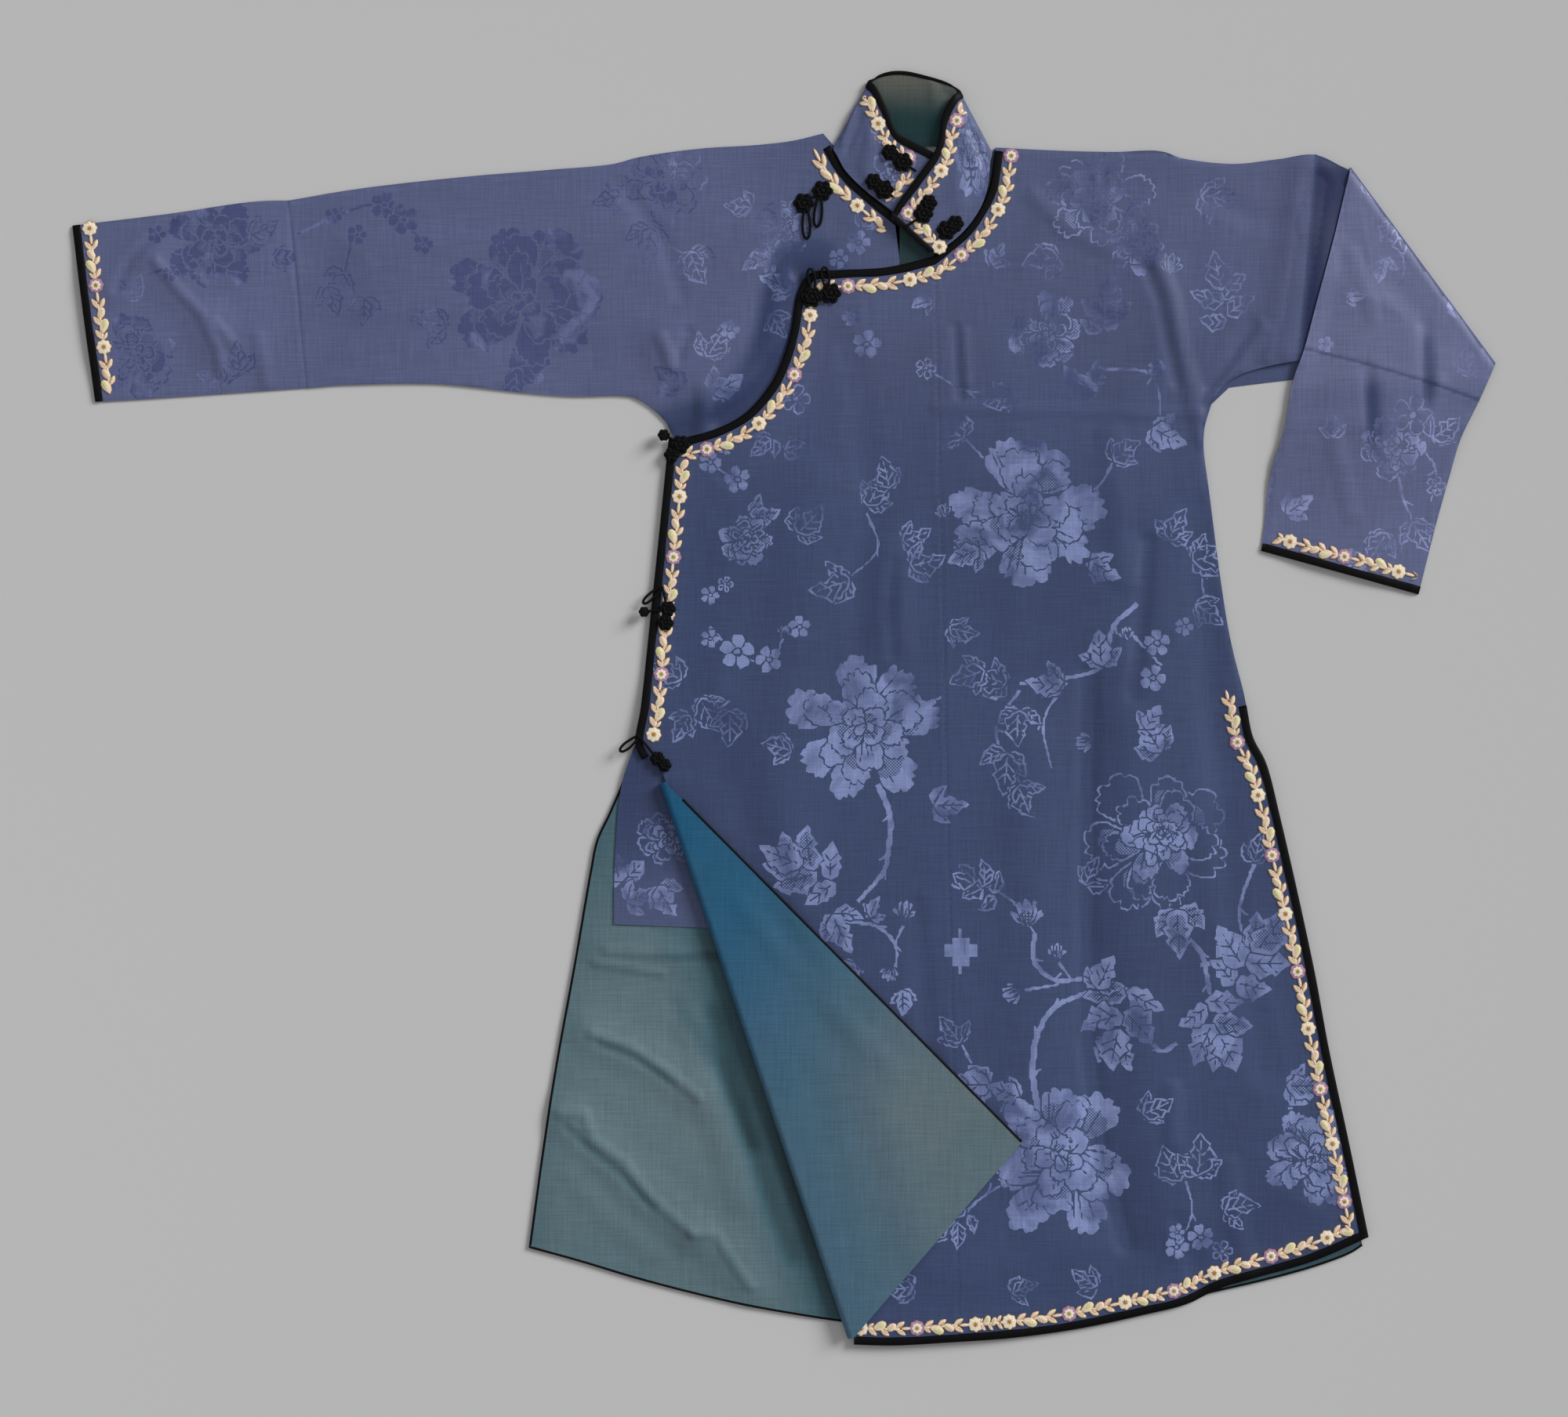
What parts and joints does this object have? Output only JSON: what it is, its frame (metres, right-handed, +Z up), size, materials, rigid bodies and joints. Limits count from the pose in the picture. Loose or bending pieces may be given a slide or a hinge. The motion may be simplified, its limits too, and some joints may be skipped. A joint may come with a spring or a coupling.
{
  "type": "silk robe laid flat",
  "caption": "Long-sleeved silk damask robe with a stand collar and curved side closing, laid flat with one sleeve and one corner turned over.",
  "frame": {"origin": "middle of the robe's outline, on the surface that it lies on", "axes": "+Z up from the surface, +Y towards the collar, +X towards the wearer's left sleeve"},
  "size_m": [1.305, 1.1694, 0.0157],
  "materials": {
    "silk_damask": "satin damask, blue-violet",
    "lining": "plain weave, teal",
    "satin_binding": "satin, black",
    "braid": "woven braid, cream",
    "cord": "sewn cord, black"
  },
  "bodies": {
    "root": {"back_left": "silk_damask", "back_lining": "lining", "back_right": "silk_damask", "binding_collar": "satin_binding", "binding_hem": "satin_binding", "binding_left_cuff": "satin_binding", "binding_neck": "satin_binding", "binding_overlap": "satin_binding", "binding_right_cuff": "satin_binding", "braid_collar_over": "braid", "braid_collar_under": "braid", "braid_hem": "braid", "braid_left_cuff": "braid", "braid_neck": "braid", "braid_overlap": "braid", "braid_right_cuff": "braid", "collar": "silk_damask", "collar_lining": "lining", "corner_lining": "lining", "edge_back": "satin_binding", "edge_corner": "satin_binding", "frog_chest": "cord", "frog_collar_lower_over": "cord", "frog_collar_lower_under": "cord", "frog_collar_upper_over": "cord", "frog_collar_upper_under": "cord", "frog_overlap_corner": "cord", "frog_side": "cord", "frog_underarm": "cord", "frog_vent": "cord", "inner_front": "silk_damask", "left_sleeve_extension": "silk_damask", "left_sleeve_turned": "silk_damask", "neck_lining": "lining", "outer_front_left": "silk_damask", "outer_front_overlap": "silk_damask", "right_sleeve_extension": "silk_damask"}
  },
  "joints": []
}
